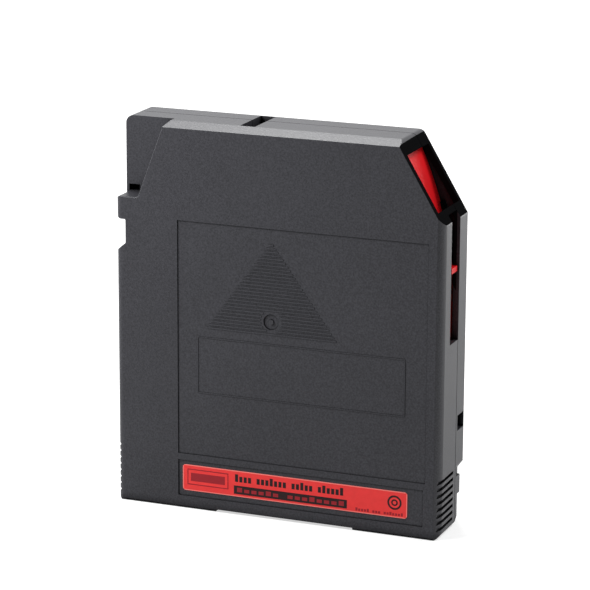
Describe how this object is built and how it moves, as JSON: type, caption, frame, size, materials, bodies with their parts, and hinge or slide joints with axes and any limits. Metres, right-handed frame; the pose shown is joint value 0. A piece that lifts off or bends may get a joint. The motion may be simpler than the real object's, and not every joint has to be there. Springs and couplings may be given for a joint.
{
  "type": "data tape cartridge",
  "caption": "Single-reel data tape cartridge: two-part charcoal case with a stepped leading corner, grip ribs, a cut-off corner with a sprung curved tape door, and a brake in the reel.",
  "frame": {"origin": "centre of the footprint on the surface that the rear edge stands on", "axes": "+X across the width, +Y through the thickness from the labelled face to the spindle face, +Z from the rear edge to the leading edge"},
  "size_m": [0.109, 0.0244, 0.125],
  "materials": {
    "case_charcoal": "fine-grained matt moulded polycarbonate",
    "screw_steel": "zinc-plated steel",
    "label_red": "satin printed film",
    "pin_steel": "ground steel",
    "clip_black": "satin moulded plastic",
    "spring_steel": "bright spring steel",
    "leader_film": "smooth film",
    "board_green": "solder mask",
    "chip_black": "moulded epoxy",
    "door_red": "satin moulded plastic",
    "reel_grey": "natural glass-filled plastic",
    "flange_clear": "smooth moulded plastic",
    "plate_steel": "stamped steel",
    "tape_brown": "edge of wound film",
    "brake_white": "natural acetal",
    "pad_grey": "grey acetal",
    "slider_red": "satin moulded plastic"
  },
  "bodies": {
    "case": {"upper_shell": "case_charcoal", "lower_shell": "case_charcoal", "case_screws": "screw_steel", "front_label": "label_red", "leader_pin": "pin_steel", "leader_clip": "clip_black", "pin_springs": "spring_steel", "tape_leader": "leader_film", "memory_board": "board_green", "memory_chip": "chip_black", "door_spring": "spring_steel", "brake_spring": "spring_steel"},
    "door": {"door": "door_red"},
    "reel": {"reel_hub": "reel_grey", "upper_flange": "flange_clear", "hub_plate": "plate_steel", "tape_pack": "tape_brown"},
    "brake": {"brake_button": "brake_white"},
    "release_pad": {"release_pad": "pad_grey"},
    "slider": {"write_protect_slider": "slider_red"}
  },
  "joints": [
    {"name": "door_swing", "type": "hinge", "parent": "case", "child": "door", "pos_m": [-0.0792, 0, 0.0647], "axis": [0, 1, 0], "range_deg": [0, 9.2], "stiffness_Nm_per_rad": 0.4, "springref_deg": -9.17, "deforming": ["door_spring"]},
    {"name": "reel_spin", "type": "hinge", "parent": "case", "child": "reel", "pos_m": [-0.0015, 0, 0.0647], "axis": [0, 1, 0], "continuous": true},
    {"name": "brake_lift", "type": "slide", "parent": "case", "child": "brake", "axis": [0, 1, 0], "range_m": [-0.0006, 0.0013], "stiffness_N_per_m": 300, "springref_m": 0.004, "deforming": ["brake_spring"]},
    {"name": "pad_lift", "type": "slide", "parent": "reel", "child": "release_pad", "axis": [0, 1, 0], "range_m": [-0.0006, 0.0013]},
    {"name": "write_protect_slide", "type": "slide", "parent": "case", "child": "slider", "axis": [1, 0, 0], "range_m": [0, 0.0055]}
  ],
  "couplings": [
    {"joint": "pad_lift", "follows": "brake_lift", "ratio": 1}
  ]
}
